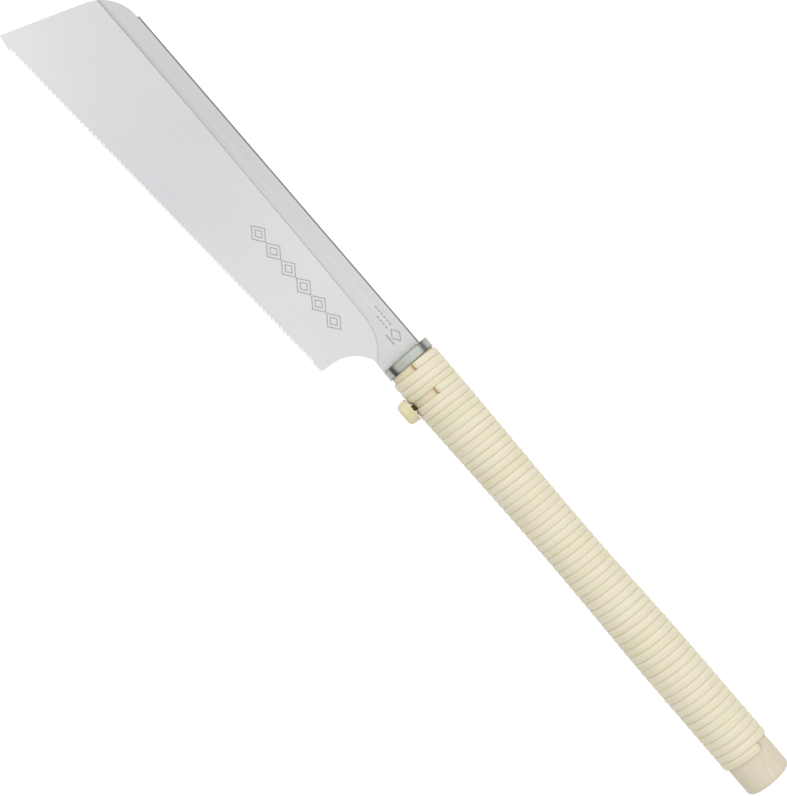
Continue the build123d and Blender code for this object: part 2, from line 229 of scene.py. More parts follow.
class Nodes:
    """Small wrapper that makes and links the nodes of one material."""

    def __init__(self, name):
        self.material = bpy.data.materials.new(name)
        self.material.use_nodes = True
        self.tree = self.material.node_tree
        self.shader = self.tree.nodes["Principled BSDF"]

    def add(self, kind, inputs=None, **settings):
        node = self.tree.nodes.new(kind)
        for key, value in settings.items():
            setattr(node, key, value)
        for key, value in (inputs or {}).items():
            self.put(node, key, value)
        return node

    def put(self, node, key, value):
        socket = node.inputs[key]
        if isinstance(value, bpy.types.NodeSocket):
            self.tree.links.new(value, socket)
        else:
            socket.default_value = value

    def coordinates(self, scale=(1, 1, 1)):
        """Place on the object, scaled."""
        place = self.add("ShaderNodeTexCoord")
        mapping = self.add("ShaderNodeMapping", {"Vector": place.outputs["Object"], "Scale": scale})
        return mapping.outputs["Vector"]

    def noise(self, vector, scale, detail=4.0, roughness=0.5):
        inputs = {"Vector": vector, "Scale": scale, "Detail": detail, "Roughness": roughness}
        return self.add("ShaderNodeTexNoise", inputs).outputs["Fac"]

    def ramp(self, factor, *stops):
        node = self.add("ShaderNodeValToRGB", {"Fac": factor})
        elements = node.color_ramp.elements
        while len(elements) < len(stops):
            elements.new(0.5)
        for element, (position, colour) in zip(elements, stops):
            element.position = position
            element.color = colour
        return node.outputs["Color"]

    def span(self, value, low, high, to_low, to_high):
        """Value mapped from one range to another, and held at its ends."""
        inputs = {"Value": value, 1: low, 2: high, 3: to_low, 4: to_high}
        return self.add("ShaderNodeMapRange", inputs).outputs["Result"]

    def mix(self, factor, a, b, blend="MIX"):
        node = self.add("ShaderNodeMix", data_type="RGBA", blend_type=blend)
        self.put(node, 0, factor)
        self.put(node, 6, a)
        self.put(node, 7, b)
        return node.outputs[2]

    def math(self, operation, a, b=0.0):
        node = self.add("ShaderNodeMath", operation=operation)
        self.put(node, 0, a)
        self.put(node, 1, b)
        return node.outputs[0]

    def combine(self, x, y, z):
        return self.add("ShaderNodeCombineXYZ", {0: x, 1: y, 2: z}).outputs[0]

    def attribute(self, label):
        return self.add("ShaderNodeAttribute", attribute_name=label).outputs["Fac"]

    def near_stud(self):
        """1 on the handle's lower edge beside the stud, 0 further off."""
        place = self.add("ShaderNodeTexCoord").outputs["Object"]
        split = self.add("ShaderNodeSeparateXYZ", {0: place})
        off = self.math("ABSOLUTE", self.math("SUBTRACT", split.outputs["X"], TOE_X + STUD_X * MM))
        beside = self.span(off, BROWN_FULL, BROWN_END, 1.0, 0.0)
        full, end = AXIS_Y - BROWN_FULL_BELOW, AXIS_Y - BROWN_END_BELOW
        low = self.span(split.outputs["Y"], full, end, 1.0, 0.0)
        return self.math("MULTIPLY", beside, low)

    def bump(self, height, distance, strength):
        inputs = {"Height": height, "Distance": distance, "Strength": strength}
        return self.add("ShaderNodeBump", inputs).outputs["Normal"]

    def surface(self, **values):
        """Sets the shader's inputs by name, with underscores for spaces, and returns the material."""
        for key, value in values.items():
            self.put(self.shader, key.replace("_", " "), value)
        return self.material


def grey(value):
    """Linear grey with full alpha."""
    return (value, value, value, 1.0)


def steel_blade():
    """Fine ground spring steel, with faint lines along the plate, painted shade towards the toe and painted
    light near the teeth.
    """
    n = Nodes("blade_steel")
    lines = n.noise(n.coordinates(scale=(6, 900, 900)), 2.0, 3.0)
    clouds = n.noise(n.coordinates(scale=(9, 14, 14)), 1.0, 2.0)
    tint = n.ramp(clouds, (0.35, srgb(186, 187, 188)), (0.65, srgb(190, 191, 189)))
    colour = n.mix(0.1, tint, n.ramp(lines, (0.3, grey(0.35)), (0.7, grey(0.65))))
    place = n.add("ShaderNodeSeparateXYZ", {0: n.coordinates()})
    # Painted shade: darker towards the toe, lighter towards the handle.
    towards_handle = n.span(place.outputs["X"], TOE_X + 130 * MM, TOE_X + 195 * MM, 0.0, 1.0)
    colour = n.mix(1.0, colour, n.mix(towards_handle, (0.94, 0.94, 0.945, 1), grey(1.02)), "MULTIPLY")
    # Painted light: brighter and a little bluer near the teeth, most of all near the toe.
    by_toe = n.span(place.outputs["X"], TOE_X, TOE_X + 90 * MM, 1.0, 0.0)
    by_teeth = n.span(place.outputs["Y"], AXIS_Y - 48 * MM, AXIS_Y - 8 * MM, 1.0, 0.0)
    light = n.math("MULTIPLY", by_teeth, n.math("ADD", n.math("MULTIPLY", by_toe, 0.7), 0.3))
    colour = n.mix(light, colour, n.mix(1.0, colour, (1.09, 1.09, 1.13, 1), "MULTIPLY"))
    rough = n.span(lines, 0.3, 0.7, 0.34, 0.44)
    normal = n.bump(lines, 0.000004, 0.25)
    return n.surface(Base_Color=colour, Metallic=1.0, Roughness=rough, Normal=normal)


def steel_back():
    """Rolled steel of the back, brushed lengthwise, with a painted dark reflection along the roll of its
    fold at the top, painted shade towards the nose and a painted dark band above its lower edge near the
    nose.
    """
    n = Nodes("back_steel")
    lines = n.noise(n.coordinates(scale=(10, 2600, 2600)), 1.0, 5.0, 0.65)
    broad = n.noise(n.coordinates(scale=(7, 300, 300)), 1.0, 3.0)
    place = n.add("ShaderNodeSeparateXYZ", {0: n.coordinates()})
    tint = n.ramp(broad, (0.3, srgb(184, 184, 185)), (0.7, srgb(189, 188, 187)))
    colour = n.mix(0.22, tint, n.ramp(lines, (0.3, grey(0.28)), (0.7, grey(0.65))))
    # Painted shade: darker towards the nose, lighter towards the handle.
    towards_handle = n.span(place.outputs["X"], TOE_X + 110 * MM, TOE_X + 230 * MM, 0.0, 1.0)
    colour = n.mix(1.0, colour, n.mix(towards_handle, grey(0.88), grey(0.98)), "MULTIPLY")
    # Painted dark reflection along the roll of the fold, just below the top.
    below_top = n.math("SUBTRACT", AXIS_Y + BACK_TOP * MM, place.outputs["Y"])
    starts = n.span(below_top, 0.05 * MM, 0.25 * MM, 0.3, 1.0)
    fold = n.math("MULTIPLY", starts, n.span(below_top, 0.8 * MM, 1.05 * MM, 1.0, 0.0))
    colour = n.mix(n.math("MULTIPLY", fold, 0.62), colour, srgb(60, 60, 62))
    # Painted shade: a soft dark band just above the lower edge near the nose, fading towards the handle.
    above_low = n.span(below_top, 8.4 * MM, 10.9 * MM, 0.0, 0.22)
    by_nose = n.span(place.outputs["X"], TOE_X + 40 * MM, TOE_X + 140 * MM, 1.0, 0.0)
    painted_low_edge_shade = n.math("MULTIPLY", above_low, by_nose)
    colour = n.mix(painted_low_edge_shade, colour, srgb(96, 96, 98))
    rough = n.span(lines, 0.3, 0.7, 0.3, 0.46)
    normal = n.bump(lines, 0.000012, 0.4)
    return n.surface(Base_Color=colour, Metallic=1.0, Roughness=rough, Normal=normal)


def steel_ferrule():
    """Zinc plated ring, with streaks round it, and painted dark reflection and shade at its front and rear
    edges and along a line just behind the front.
    """
    n = Nodes("ferrule_steel")
    streaks = n.noise(n.coordinates(scale=(1800, 30, 30)), 1.0, 4.0)
    spots = n.noise(n.coordinates(scale=(500, 500, 500)), 1.0, 4.0)
    tint = n.ramp(spots, (0.3, srgb(158, 163, 152)), (0.7, srgb(170, 174, 164)))
    colour = n.mix(0.18, tint, n.ramp(streaks, (0.3, grey(0.22)), (0.7, grey(0.5))))
    place = n.add("ShaderNodeSeparateXYZ", {0: n.coordinates()}).outputs["X"]
    # Painted dark reflection and shade: at the rear edge, at the front edge and along a line just behind the
    # front.
    rear = n.span(place, FERRULE_HIGH.x - 0.95 * MM, FERRULE_HIGH.x - 0.35 * MM, 0.0, 0.5)
    groove = n.math("ABSOLUTE", n.math("SUBTRACT", place, FERRULE_LOW.x + 0.75 * MM))
    front = n.span(place, FERRULE_LOW.x + 0.1 * MM, FERRULE_LOW.x + 0.45 * MM, 0.55, 0.0)
    dark = n.math("ADD", n.math("ADD", rear, front), n.span(groove, 0.1 * MM, 0.45 * MM, 0.3, 0.0))
    colour = n.mix(dark, colour, srgb(62, 68, 60))
    rough = n.span(streaks, 0.3, 0.7, 0.18, 0.28)
    normal = n.bump(streaks, 0.00001, 0.2)
    return n.surface(Base_Color=colour, Metallic=1.0, Roughness=rough, Normal=normal)


def steel_inner():
    """Zinc plated steel of the inner pieces."""
    n = Nodes("inner_steel")
    spots = n.noise(n.coordinates(scale=(700, 700, 700)), 1.0, 4.0)
    colour = n.ramp(spots, (0.3, srgb(150, 152, 150)), (0.7, srgb(186, 187, 182)))
    rough = n.span(spots, 0.3, 0.7, 0.3, 0.45)
    normal = n.bump(spots, 0.00002, 0.3)
    return n.surface(Base_Color=colour, Metallic=1.0, Roughness=rough, Normal=normal)


def steel_stud():
    """Dark oiled thread, brown in spots all over."""
    n = Nodes("stud_steel")
    spots = n.noise(n.coordinates(scale=(900, 900, 900)), 1.0, 4.0)
    colour = n.ramp(spots, (0.35, srgb(112, 86, 44)), (0.65, srgb(180, 152, 96)))
    rough = n.span(spots, 0.3, 0.7, 0.3, 0.5)
    return n.surface(Base_Color=colour, Metallic=0.7, Roughness=rough)


def etched():
    """Etched lines: duller and darker than the ground steel."""
    n = Nodes("etched_steel")
    spots = n.noise(n.coordinates(scale=(2500, 2500, 2500)), 1.0, 3.0)
    colour = n.ramp(spots, (0.3, srgb(138, 138, 140)), (0.7, srgb(164, 164, 166)))
    return n.surface(Base_Color=colour, Metallic=0.6, Roughness=0.6)


def rattan():
    """Peeled rattan: cream, with fibres along the strip, a tone that wanders from turn to turn between pink
    and green, painted shade in the grooves between turns that is faint here and olive there, and brown at
    the cut ends and by the stud."""
    n = Nodes("rattan")
    along, across, end_brown = (n.attribute(label) for label in ("along", "across", "end_brown"))
    drift = n.noise(n.combine(n.math("MULTIPLY", along, 11.0), across, 0.0), 1.0, 3.0)
    turn = n.noise(n.combine(n.math("MULTIPLY", along, 5.0), 7.0, 3.0), 1.0, 5.0, 0.7)
    seam = n.noise(n.combine(n.math("MULTIPLY", along, 9.0), 2.0, 9.0), 1.0, 4.0, 0.7)
    fine = n.combine(n.math("MULTIPLY", along, 55.0), n.math("MULTIPLY", across, 30.0), 0.0)
    fibres = n.noise(fine, 1.0, 6.0, 0.65)
    cream = n.ramp(
        drift,
        (0.3, srgb(198, 190, 158)),
        (0.45, srgb(206, 199, 176)),
        (0.6, srgb(210, 204, 183)),
        (0.75, srgb(201, 191, 158)),
    )
    tone = n.ramp(turn, (0.36, srgb(210, 198, 178)), (0.5, srgb(207, 201, 178)), (0.64, srgb(193, 190, 152)))
    toned = n.mix(0.5, cream, tone)
    streaked = n.mix(0.2, toned, n.ramp(fibres, (0.34, srgb(165, 150, 104)), (0.6, srgb(228, 223, 206))))
    edge = n.math("ABSOLUTE", n.math("SUBTRACT", across, 0.5))
    # Painted shade in the grooves between turns, stronger in some places than others.
    groove = n.math("MULTIPLY", n.span(edge, 0.38, 0.5, 0.0, 1.0), n.span(seam, 0.38, 0.62, 0.1, 0.85))
    colour = n.mix(groove, streaked, srgb(180, 166, 110))
    near_stud = n.near_stud()
    # Brown on the strip's edges beside the stud, on the handle's lower side.
    brown_by_stud = n.math("MULTIPLY", near_stud, n.span(edge, 0.25, 0.5, 0.25, 0.9))
    # Brown at the cut ends, fading along the strip.
    cut = n.math("MINIMUM", n.math("MULTIPLY", end_brown, 1.2), 0.95)
    colour = n.mix(n.math("MAXIMUM", cut, brown_by_stud), colour, srgb(140, 104, 36))
    rough = n.span(fibres, 0.3, 0.7, 0.42, 0.58)
    normal = n.bump(fibres, 0.00005, 0.45)
    return n.surface(Base_Color=colour, Roughness=rough, Normal=normal)


def core_wood():
    """Pale softwood, with grain along the handle, rings on the butt, and yellower by the mouth."""
    n = Nodes("core_wood")
    bend = n.noise(n.coordinates(scale=(18, 60, 60)), 1.0, 2.0)
    split = n.add("ShaderNodeSeparateXYZ", {"Vector": n.coordinates()})
    wander = n.math("MULTIPLY", bend, 0.012)
    tilted = n.math("MULTIPLY", split.outputs["Z"], 0.35)
    rings = n.math("ADD", n.math("ADD", split.outputs["Y"], wander), tilted)
    band = n.math("FRACT", n.math("MULTIPLY", rings, 900.0))
    grain = n.ramp(band, (0.0, srgb(200, 191, 173)), (0.7, srgb(196, 187, 166)), (0.95, srgb(190, 179, 155)))
    pores = n.noise(n.coordinates(scale=(40, 2400, 2400)), 1.0, 4.0)
    colour = n.mix(0.22, grain, n.ramp(pores, (0.35, srgb(180, 165, 136)), (0.6, srgb(210, 203, 188))))
    by_mouth = n.span(split.outputs["X"], TOE_X + 292 * MM, TOE_X + 310 * MM, 1.0, 0.0)
    colour = n.mix(n.math("MULTIPLY", by_mouth, 0.36), colour, srgb(224, 208, 164))
    rough = n.span(pores, 0.3, 0.7, 0.55, 0.72)
    normal = n.bump(pores, 0.00005, 0.4)
    return n.surface(Base_Color=colour, Roughness=rough, Normal=normal)


def knob_plastic():
    """Cream moulded plastic with a faint mottle."""
    n = Nodes("knob_plastic")
    mottle = n.noise(n.coordinates(scale=(160, 160, 160)), 1.0, 3.0)
    fine = n.noise(n.coordinates(scale=(1500, 1500, 1500)), 1.0, 3.0)
    colour = n.ramp(mottle, (0.3, srgb(194, 186, 144)), (0.7, srgb(204, 197, 162)))
    rough = n.span(fine, 0.3, 0.7, 0.34, 0.46)
    normal = n.bump(fine, 0.00003, 0.3)
    return n.surface(Base_Color=colour, Roughness=rough, Normal=normal)


FLOOR_GLOW = 0.84


def floor_paint():
    """Dark paint with an even glow, which stays white in the picture and takes only faint shadows."""
    n = Nodes("floor_paint")
    spots = n.noise(n.coordinates(scale=(3, 3, 3)), 1.0, 2.0)
    colour = n.ramp(spots, (0.3, grey(0.24)), (0.7, grey(0.26)))
    return n.surface(
        Base_Color=colour,
        Roughness=0.8,
        Specular_IOR_Level=0.1,
        Emission_Color=grey(1.0),
        Emission_Strength=FLOOR_GLOW,
    )


STEEL_BLADE = steel_blade()
STEEL_BACK = steel_back()
STEEL_FERRULE = steel_ferrule()
STEEL_INNER = steel_inner()
STEEL_STUD = steel_stud()
ETCHED = etched()
RATTAN = rattan()
WOOD = core_wood()
PLASTIC = knob_plastic()


def paint(node, material):
    """Gives a carried-over CAD node its material."""
    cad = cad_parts[node]
    cad.data.materials.clear()
    cad.data.materials.append(material)


for node in ("core_left", "core_right"):
    paint(node, WOOD)
for node in ("blade_sleeve", "guide_pin", "clamp_nut", "clamp_foot"):
    paint(node, STEEL_INNER)
paint("mouth_ferrule", STEEL_FERRULE)

# ---------------------------------------------------------------- rattan windings

STRIP_BED = 0.05 * MM
STRIP_THICKNESS = 1.45 * MM
STRIP_GAP = 0.02 * MM
STEPS_PER_TURN = 72
FRONT_WIDTHS = [3.87 * MM, 4.79 * MM, 3.97 * MM, 3.71 * MM]
MAIN_FIRST_WIDTH = 3.98 * MM
MAIN_FIRST_TURNS = 4
MAIN_WIDTH = 4.302 * MM
MAIN_WIDTH_TURNS = 27
BUTT_WIDTH = 4.49 * MM
START_ANGLE = math.radians(-5)
MAIN_START = 4.01
FRONT_END = 3.55
END_FRACTION = 0.1037
MAIN_TURNS = 56
WANDER = 0.07 * MM
END_BROWN_REACH = 0.75 * MM
END_SQUEEZE = 0.35
START_ROUND = 0.3 * MM
FRONT_END_ROUND = 1.0 * MM
BUTT_END_ROUND = 1.3 * MM

# How the strip's edges are laid beside the stud
STUD_PULL = 3 * MM
STUD_BEND = 3.4 * MM
STUD_BEND_FADE = 1.4 * MM
STUD_CLEARANCE = 0.06

random.seed(11)


def strip_edges():
    """Left edge of the strip, in metres of x, at every turn, from the ferrule to the butt."""
    widths = list(FRONT_WIDTHS)
    widths += [MAIN_FIRST_WIDTH] * MAIN_FIRST_TURNS
    widths += [MAIN_WIDTH] * MAIN_WIDTH_TURNS
    widths += [BUTT_WIDTH] * (MAIN_TURNS + 3 - MAIN_FIRST_TURNS - MAIN_WIDTH_TURNS)
    edges = [FERRULE_HIGH.x + 0.1 * MM]
    for width in widths:
        edges.append(edges[-1] + width)
    front = len(FRONT_WIDTHS)
    last = front + MAIN_TURNS + 1 + END_FRACTION
    reach = np.interp(last, range(len(edges)), edges) - edges[front]
    room = WINDING_END - edges[front]
    main = [edges[front] + (edge - edges[front]) * room / reach for edge in edges[front + 1 :]]
    return np.array(edges[: front + 1] + main)


EDGES = strip_edges()
WOBBLE_STEPS = 5
WOBBLES = [random.gauss(0, 1) for _ in range(WOBBLE_STEPS * (len(EDGES) + 2))]


def left_edge(turn):
    """x of the strip's left edge at a turn, with the hand winding's small wander."""
    x = float(np.interp(turn, range(len(EDGES)), EDGES))
    place = turn * WOBBLE_STEPS
    i = int(place)
    t = place - i
    t = t * t * (3 - 2 * t)
    wobble = WOBBLES[i] * (1 - t) + WOBBLES[i + 1] * t
    return x + WANDER * wobble * min(1.0, max(0.0, turn))


def beside_stud(edge, angle):
    """Lays an edge of the strip against the stud's side where the two pass each other."""
    stud = TOE_X + STUD_X * MM
    off = abs(FRONT_RADIUS * FLATTEN * math.cos(angle))
    if math.sin(angle) > 0 or abs(edge - stud) > STUD_PULL or off > STUD_BEND:
        return edge
    side = stud + math.copysign((THREAD_MAJOR + STUD_CLEARANCE) * MM, edge - stud)
    share = min(1.0, (STUD_BEND - off) / STUD_BEND_FADE)
    return edge + (side - edge) * share


# Half of the strip's section, from its middle to its edge: (share of the half width, share of the crown)
SECTION = [
    (0.0, 1.0),
    (0.25, 0.982),
    (0.5, 0.928),
    (0.7, 0.86),
    (0.86, 0.785),
    (0.95, 0.735),
    (1.0, 0.67),
    (1.0, 0.0),
]


def strip(name, start, end, start_round, end_round):
    """A strip wound from one turn to another. Its points carry their place along and across the strip,
    and how far the brown of a cut end reaches them."""
    steps = int((end - start) * STEPS_PER_TURN)
    half = SECTION[1:]
    profile = [(-s, h) for s, h in reversed(half)] + [SECTION[0]] + half
    middles, widths = [], []
    for i in range(steps + 1):
        turn = start + (end - start) * i / steps
        angle = TAU * turn + START_ANGLE
        low, high = (beside_stud(left_edge(t), angle) for t in (turn, turn + 1))
        radius = core_radius((low + high) / 2) + STRIP_BED
        middles.append(
            (
                (low + high) / 2,
                AXIS_Y + radius * math.sin(angle),
                AXIS_Z + radius * FLATTEN * math.cos(angle),
                math.sin(angle),
                FLATTEN * math.cos(angle),
            )
        )
        widths.append(high - low - STRIP_GAP)
    middles = np.array(middles)
    along = np.concatenate([[0], np.cumsum(np.linalg.norm(np.diff(middles[:, :3], axis=0), axis=1))])
    from_start, from_end = along, along[-1] - along
    narrow = end_narrowing(from_start, start_round) * end_narrowing(from_end, end_round)
    # Brown at the cut ends, full at the start and half as strong at the far end, fading along the strip.
    end_brown = np.exp(-from_start / END_BROWN_REACH) + 0.5 * np.exp(-from_end / END_BROWN_REACH)
    rings = []
    for (x, y, z, out_y, out_z), width, squeeze in zip(middles, widths, narrow):
        lift_y, lift_z = out_y * STRIP_THICKNESS, out_z * STRIP_THICKNESS
        ring = [(x + s * width * squeeze / 2, y + lift_y * h, z + lift_z * h) for s, h in profile]
        rings.append(ring)
    mesh = build(name, [shell(rings)], 50)
    across = np.array([0.5 + s / 2 for s, _ in profile])
    count = len(profile)
    for label, values in (
        ("along", np.repeat(along, count)),
        ("across", np.tile(across, steps + 1)),
        ("end_brown", np.repeat(end_brown, count)),
    ):
        mesh.attributes.new(label, "FLOAT", "POINT").data.foreach_set("value", values)
    return mesh


def end_narrowing(distance, reach):
    """Share of its width that a strip keeps near a cut end with rounded corners."""
    share = np.clip(1 - distance / reach, 0, 1)
    return 1 - END_SQUEEZE * (1 - np.sqrt(1 - share**2))


front_mesh = strip("front_cane", 0.0, FRONT_END, START_ROUND, FRONT_END_ROUND)
add_piece("front_cane", front_mesh, RATTAN, "handle", ["front_winding"])
main_end = len(FRONT_WIDTHS) + MAIN_TURNS + END_FRACTION
main_mesh = strip("main_cane", MAIN_START, main_end, START_ROUND, BUTT_END_ROUND)
add_piece("main_cane", main_mesh, RATTAN, "handle", ["main_winding"])

# ---------------------------------------------------------------- blade plate and its teeth

PLATE_HALF = 0.15
PLATE_EDGE = 0.05
CURVE_STEPS = 24
TOOTH_PITCH = 1.5
TOOTH_COUNT = 150
TOOTH_DEPTH = 1.95
TOOTH_LEAN = 0.12
TOOTH_SET = 0.07
FILED_FRONT = 0.25
FILED_TIP = 0.93
FILED_DEPTH = 0.4
FILED_REAR = 1.04
TOOTH_SLOPE = math.radians(3.42)
TOE = (0.0, -51.0)
FIRST_TOOTH = (9.1, -52.2)
HEEL_CORNER = (239.6, -37.85)
SCOOP_START = (240.0, -33.2)
SCOOP_END = (252.7, -13.6)
PLATE_REAR = 256.0
NOSE_ARC_START = (15.86, -7.0)
NOSE_ARC_END = (39.4, 9.1)


def tooth_point(pitches, depth):
    """Point a number of pitches along the tips, and a depth in from them."""
    distance = pitches * TOOTH_PITCH
    x = FIRST_TOOTH[0] + distance * math.cos(TOOTH_SLOPE) - depth * math.sin(TOOTH_SLOPE)
    y = FIRST_TOOTH[1] + distance * math.sin(TOOTH_SLOPE) + depth * math.cos(TOOTH_SLOPE)
    return (x, y)


def nose_arc(steps=40):
    """The round between the slanted front edge and the back."""
    slant = (NOSE_ARC_START[0] - TOE[0], NOSE_ARC_START[1] - TOE[1])
    return arc(NOSE_ARC_START, NOSE_ARC_END, slant, steps)


def plate_body():
    """The plate down to the roots of its teeth."""
    roots = [tooth_point(TOOTH_LEAN, TOOTH_DEPTH), tooth_point(TOOTH_COUNT - 1 + TOOTH_LEAN, TOOTH_DEPTH)]
    outline = [TOE, FIRST_TOOTH, *roots, tooth_point(TOOTH_COUNT, 0), HEEL_CORNER, SCOOP_START]
    outline += arc(SCOOP_START, SCOOP_END, (0, 1), CURVE_STEPS)
    outline += [(PLATE_REAR, SCOOP_END[1]), (PLATE_REAR, NOSE_ARC_END[1])]
    outline += nose_arc()[::-1] + [NOSE_ARC_START]
    profiles = [chamfer(0.0 if point in roots else PLATE_EDGE, PLATE_HALF) for point in outline]
    return plate(outline, profiles)


def tooth(i):
    """One tooth: full on its sharp side, filed back on the other, and set towards its sharp side."""
    side = 1 if i % 2 else -1
    sharp = [(i + TOOTH_LEAN, TOOTH_DEPTH), (i + 1, 0), (i + 1 + TOOTH_LEAN, TOOTH_DEPTH)]
    filed = [(i + TOOTH_LEAN + FILED_FRONT, TOOTH_DEPTH), (i + FILED_TIP, FILED_DEPTH)]
    filed += [(i + FILED_REAR, TOOTH_DEPTH)]
    lean = [0, TOOTH_SET, 0]
    sharp = [saw(*tooth_point(*spot), side * (PLATE_HALF + shift)) for spot, shift in zip(sharp, lean)]
    filed = [saw(*tooth_point(*spot), side * (shift - PLATE_HALF)) for spot, shift in zip(filed, lean)]
    return shell([sharp, filed])


plate_mesh = build("toothed_plate", [plate_body()] + [tooth(i) for i in range(TOOTH_COUNT - 1)], 20)
add_piece("toothed_plate", plate_mesh, STEEL_BLADE, "blade_unit", ["blade_plate"])

# ---------------------------------------------------------------- folded back

BACK_HALF = 0.85
BACK_EDGE = 0.13
BACK_STATIONS = range(30, 230, 10)
BACK_NOSE_LOW = -1.05
BACK_MIDDLE_LOW = (117.0, -1.1)
BACK_CURVE_START = (234.0, -2.85)
BACK_CURVE_SLOPE = 0.05
BACK_CORNER = (255.0, -13.8)
BACK_END = 260.8
TANG_TOP = 8.5
TANG_BOTTOM = -3.5
TANG_END = 311.0
FORK_START = 303.0
FORK_MIDDLE = 2.5
FORK_RADIUS = 1.7
TANG_CORNER = 1.5
TANG_OVERLAP = 0.3
TANG_EDGE = 0.15
ROLL_LEVELS = 9


def back_low(x):
    """Height of the back's slightly bowed lower edge."""
    share = x / BACK_CURVE_START[0]
    bow = BACK_MIDDLE_LOW[1] - (BACK_NOSE_LOW + BACK_CURVE_START[1]) / 2
    return BACK_NOSE_LOW + (BACK_CURVE_START[1] - BACK_NOSE_LOW) * share + 4 * bow * share * (1 - share)


def folded_back():
    """The two sheets, rolled over at the top from the end of the nose's round to the ferrule."""
    round_nose = [NOSE_ARC_START] + nose_arc(80)
    above = next(i for i, (x, y) in enumerate(round_nose) if y > back_low(x))
    (x0, y0), (x1, y1) = round_nose[above - 1], round_nose[above]
    gap0, gap1 = back_low(x0) - y0, back_low(x1) - y1
    share = gap0 / (gap0 - gap1)
    nose_corner = (x0 + (x1 - x0) * share, y0 + (y1 - y0) * share)
    outline = [nose_corner] + [(x, back_low(x)) for x in BACK_STATIONS] + [BACK_CURVE_START]
    outline += arc(BACK_CURVE_START, BACK_CORNER, (1, -BACK_CURVE_SLOPE), CURVE_STEPS)
    outline += [(BACK_END, BACK_CORNER[1])]
    fold = [len(outline), len(outline) + 1]
    outline += [(BACK_END, BACK_TOP), (NOSE_ARC_END[0], BACK_TOP)] + round_nose[above:][::-1]
    angles = [math.pi / 2 * (1 - k / (ROLL_LEVELS - 1)) for k in range(ROLL_LEVELS)]
    roll = [(BACK_HALF * (1 - math.cos(a)), BACK_HALF * math.sin(a)) for a in angles]
    edge = chamfer(BACK_EDGE, BACK_HALF, ROLL_LEVELS)
    return plate(outline, [roll if i in fold else edge for i in range(len(outline))], fold)


def tang():
    """The tang behind the shoulder, with the fork that straddles the guide pin."""
    front, inner = BACK_END - TANG_OVERLAP, TANG_END - TANG_CORNER
    fork_low, fork_high = FORK_MIDDLE - FORK_RADIUS, FORK_MIDDLE + FORK_RADIUS
    outline = [(front, TANG_BOTTOM), (inner, TANG_BOTTOM)]
    outline += arc(outline[-1], (TANG_END, TANG_BOTTOM + TANG_CORNER), (1, 0), 6)
    outline += [(TANG_END, fork_low), (FORK_START, fork_low)]
    outline += arc(outline[-1], (FORK_START - FORK_RADIUS, FORK_MIDDLE), (-1, 0), 6)
    outline += arc(outline[-1], (FORK_START, fork_high), (0, 1), 6)
    outline += [(TANG_END, fork_high), (TANG_END, TANG_TOP - TANG_CORNER)]
    outline += arc(outline[-1], (inner, TANG_TOP), (0, 1), 6)
    outline += [(front, TANG_TOP)]
    return plate(outline, [chamfer(TANG_EDGE, BACK_HALF)] * len(outline))


back_mesh = build("folded_back", [folded_back(), tang()], 25)
add_piece("folded_back", back_mesh, STEEL_BACK, "blade_unit", ["back_spine"])

# ---------------------------------------------------------------- etched marks

LINE_WIDTH = 0.52
ETCH_LIFT = 0.02
BAR_HALF = 0.35
ROW_COUNT = 6
ROW_START = (164.6, -16.45)
ROW_STEP = 11.9
ROW_SIZE = (11.2, 8.3)
DASH_ROWS = ((232.0, 4.8, 6), (236.5, 2.1, 4))
DASH_STEP = 2.25
DASH_LENGTH = 1.5
BACK_DIAMOND = (250.3, 3.2, 7.6, 5.0)
BACK_BAR = (247.0, -0.6, 6.6)


def outlined(points, surface):
    """Thin raised outline of a polygon that runs anticlockwise, on a surface this far from the plane."""
    rings = []
    low, high = surface - ETCH_LIFT, surface + ETCH_LIFT
    for i, (x, y) in enumerate(points):
        aim = inward(points, i) * LINE_WIDTH / 2
        outer, inner = (x - aim.x, y - aim.y), (x + aim.x, y + aim.y)
        rings.append([saw(*outer, high), saw(*inner, high), saw(*inner, low), saw(*outer, low)])
    return shell(rings, closed_rows=True)


def bar(x, y, length, surface):
    """Short plain bar that starts at x."""
    low, high = y - BAR_HALF, y + BAR_HALF
    corners = [(x, low), (x + length, low), (x + length, high), (x, high)]
    return shell([[saw(*c, surface + lift) for c in corners] for lift in (ETCH_LIFT, -ETCH_LIFT)])


def diamond(x, y, width, height):
    """Corners of a diamond, anticlockwise."""
    return [(x - width / 2, y), (x, y - height / 2), (x + width / 2, y), (x, y + height / 2)]


def etch_row():
    """Row of outlined diamonds, each with a smaller one inside, on the plate's upper face."""
    shells = []
    for k in range(ROW_COUNT):
        for share in (1, 0.5):
            width, height = ROW_SIZE[0] * share, ROW_SIZE[1] * share
            spot = diamond(ROW_START[0] + ROW_STEP * k, ROW_START[1], width, height)
            shells.append(outlined(spot, PLATE_HALF))
    return build("plate_etching", shells)


def back_marks():
    """Two rows of short dashes, an outlined diamond and a bar by the ferrule end of the back."""
    shells = []
    for x, y, count in DASH_ROWS:
        shells += [bar(x + DASH_STEP * k, y, DASH_LENGTH, BACK_HALF) for k in range(count)]
    shells.append(outlined(diamond(*BACK_DIAMOND), BACK_HALF))
    shells.append(bar(*BACK_BAR, BACK_HALF))
    return build("back_etching", shells)


add_piece("plate_etching", etch_row(), ETCHED, "blade_unit")
add_piece("back_etching", back_marks(), ETCHED, "blade_unit")

# ---------------------------------------------------------------- clamp screw

THREAD_PITCH = 0.7
THREAD_MINOR = 1.5
STUD_SHOULDER = -5.05
STUD_IN_KNOB = -17.0
TIP_RADIUS = 1.2
TIP_END_RADIUS = 1.05
TIP_LENGTH = 0.7
TIP_STRAIGHT = 0.55
RINGS_PER_THREAD = 10
RIDGE_WIDTH = 1.25
ROUND_STEPS = 48

